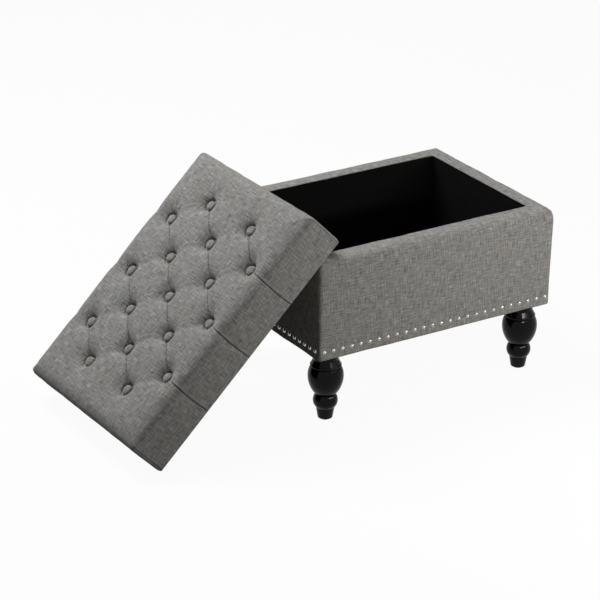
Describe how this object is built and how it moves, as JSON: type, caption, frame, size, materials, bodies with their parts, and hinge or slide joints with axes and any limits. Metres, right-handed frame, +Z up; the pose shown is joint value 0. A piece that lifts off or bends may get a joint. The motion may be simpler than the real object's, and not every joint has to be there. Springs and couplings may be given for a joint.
{
  "type": "storage bench",
  "caption": "Upholstered storage bench: an open padded box with nailhead trim on turned legs, its button-tufted lid lifted off and leaning on one end.",
  "frame": {"origin": "on the floor under the middle of the box, in the plane of the four glides", "axes": "+Z up, +X along the box away from the leaning lid, +Y across the box"},
  "size_m": [1.056, 0.451, 0.4937],
  "materials": {
    "linen_fabric": "heathered grey linen-look weave",
    "foam": "open-cell upholstery foam",
    "black_lining": "matt black lining cloth on board",
    "dust_cloth": "thin black dust cloth",
    "plywood": "raw plywood and pine",
    "black_lacquered_wood": "glossy black lacquer",
    "nickel": "polished nickel",
    "steel": "zinc-plated",
    "glide_plastic": "moulded black",
    "twine": "waxed tufting twine"
  },
  "bodies": {
    "box": {"panel_front": "plywood", "pad_front": "foam", "rim_rail_front": "plywood", "lining_front": "black_lining", "nails_front": "nickel", "panel_right": "plywood", "pad_right": "foam", "rim_rail_right": "plywood", "lining_right": "black_lining", "nails_right": "nickel", "panel_back": "plywood", "pad_back": "foam", "rim_rail_back": "plywood", "lining_back": "black_lining", "nails_back": "nickel", "panel_left": "plywood", "pad_left": "foam", "rim_rail_left": "plywood", "lining_left": "black_lining", "nails_left": "nickel", "corner_posts": "plywood", "bottom_panel": "plywood", "floor_liner": "black_lining", "box_cover": "linen_fabric", "box_dust_cover": "dust_cloth", "panel_screws": "steel", "hanger_bolts": "steel", "t_nuts": "steel", "leg_glides": "glide_plastic", "leg_front_left": "black_lacquered_wood", "leg_front_right": "black_lacquered_wood", "leg_back_left": "black_lacquered_wood", "leg_back_right": "black_lacquered_wood"},
    "lid_carrier": {"lid_stretcher": "plywood"},
    "lid": {"lid_rail_front": "plywood", "lid_rail_back": "plywood", "lid_rail_lower": "plywood", "lid_rail_upper": "plywood", "lid_batten_lower": "plywood", "lid_batten_upper": "plywood", "lid_locator_front": "plywood", "lid_locator_back": "plywood", "lid_deck": "plywood", "lid_foam": "foam", "lid_cover": "linen_fabric", "lid_dust_cover": "dust_cloth", "lid_buttons": "linen_fabric", "button_ties": "twine", "tie_washers": "glide_plastic", "deck_screws": "steel", "locator_screws": "steel"}
  },
  "joints": [
    {"name": "lid_carry", "type": "hinge", "parent": "box", "child": "lid_carrier", "pos_m": [-0.27415, 0, 0.4043], "axis": [0, 1, 0], "range_deg": [0, 221.12]},
    {"name": "lid_tilt", "type": "hinge", "parent": "lid_carrier", "child": "lid", "pos_m": [-0.48066, 0, 0.224], "axis": [0, -1, 0], "range_deg": [0, 176.63]}
  ],
  "couplings": [
    {"joint": "lid_tilt", "follows": "lid_carry", "ratio": 0.79874}
  ]
}
